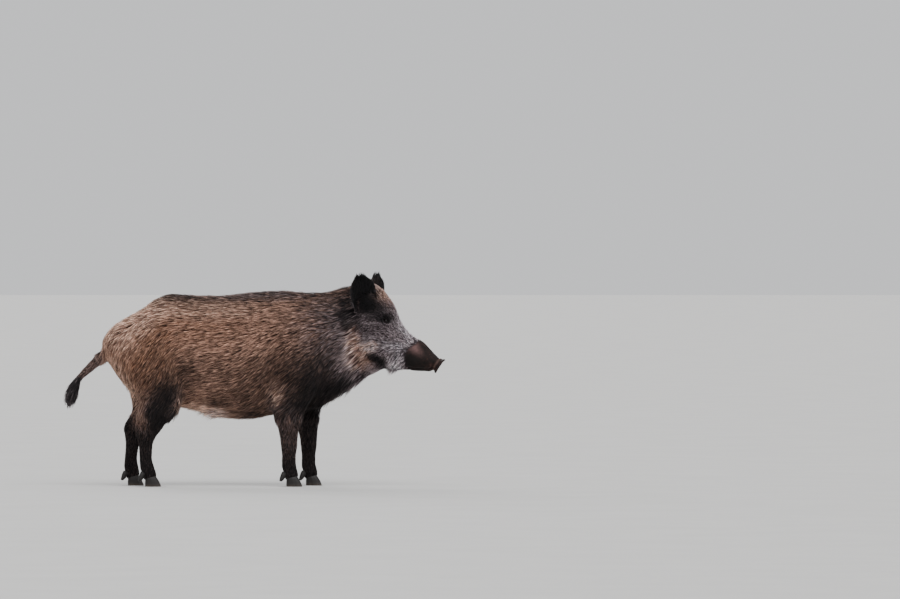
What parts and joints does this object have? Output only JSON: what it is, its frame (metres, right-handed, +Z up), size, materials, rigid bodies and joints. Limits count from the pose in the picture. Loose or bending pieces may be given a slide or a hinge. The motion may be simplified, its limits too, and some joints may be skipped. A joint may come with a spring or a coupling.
{
  "type": "wild boar",
  "caption": "Standing wild boar with bristly brown coat, raised black ears, wedge head turned a little to its right, tufted tail held out behind and cloven hooves.",
  "frame": {"origin": "on the floor, under the centre of the bounding box", "axes": "+X forwards, towards the snout, along the body's length; +Y towards the animal's left side, across its width; +Z up"},
  "size_m": [1.5162, 0.3456, 0.8584],
  "materials": {
    "coat_body": "coarse bristly coat, brown over dark roots, matt with a faint sheen",
    "coat_head": "short grizzled grey hair, paler on the cheek and the bridge of the snout",
    "coat_dark": "black-brown hair of ears, lower legs and tail tuft",
    "bare_skin": "bare, slightly moist dark skin of the snout",
    "hoof": "dark horn, satin",
    "eye": "wet dark brown eye, glossy"
  },
  "bodies": {
    "root": {"ear_left": "coat_dark", "ear_right": "coat_dark", "eye_left": "eye", "eye_right": "eye", "fore_left_dewclaw_inner": "hoof", "fore_left_dewclaw_outer": "hoof", "fore_left_foot": "coat_dark", "fore_left_forearm": "coat_dark", "fore_left_hoof_inner": "hoof", "fore_left_hoof_outer": "hoof", "fore_left_shoulder": "coat_body", "fore_right_dewclaw_inner": "hoof", "fore_right_dewclaw_outer": "hoof", "fore_right_foot": "coat_dark", "fore_right_forearm": "coat_dark", "fore_right_hoof_inner": "hoof", "fore_right_hoof_outer": "hoof", "fore_right_shoulder": "coat_body", "head": "coat_head", "hind_left_dewclaw_inner": "hoof", "hind_left_dewclaw_outer": "hoof", "hind_left_foot": "coat_dark", "hind_left_hoof_inner": "hoof", "hind_left_hoof_outer": "hoof", "hind_left_shank": "coat_dark", "hind_left_thigh": "coat_body", "hind_right_dewclaw_inner": "hoof", "hind_right_dewclaw_outer": "hoof", "hind_right_foot": "coat_dark", "hind_right_hoof_inner": "hoof", "hind_right_hoof_outer": "hoof", "hind_right_shank": "coat_dark", "hind_right_thigh": "coat_body", "jaw": "coat_head", "neck": "coat_body", "snout_disc": "bare_skin", "tail": "coat_body", "tail_tuft": "coat_dark", "trunk": "coat_body"}
  },
  "joints": []
}
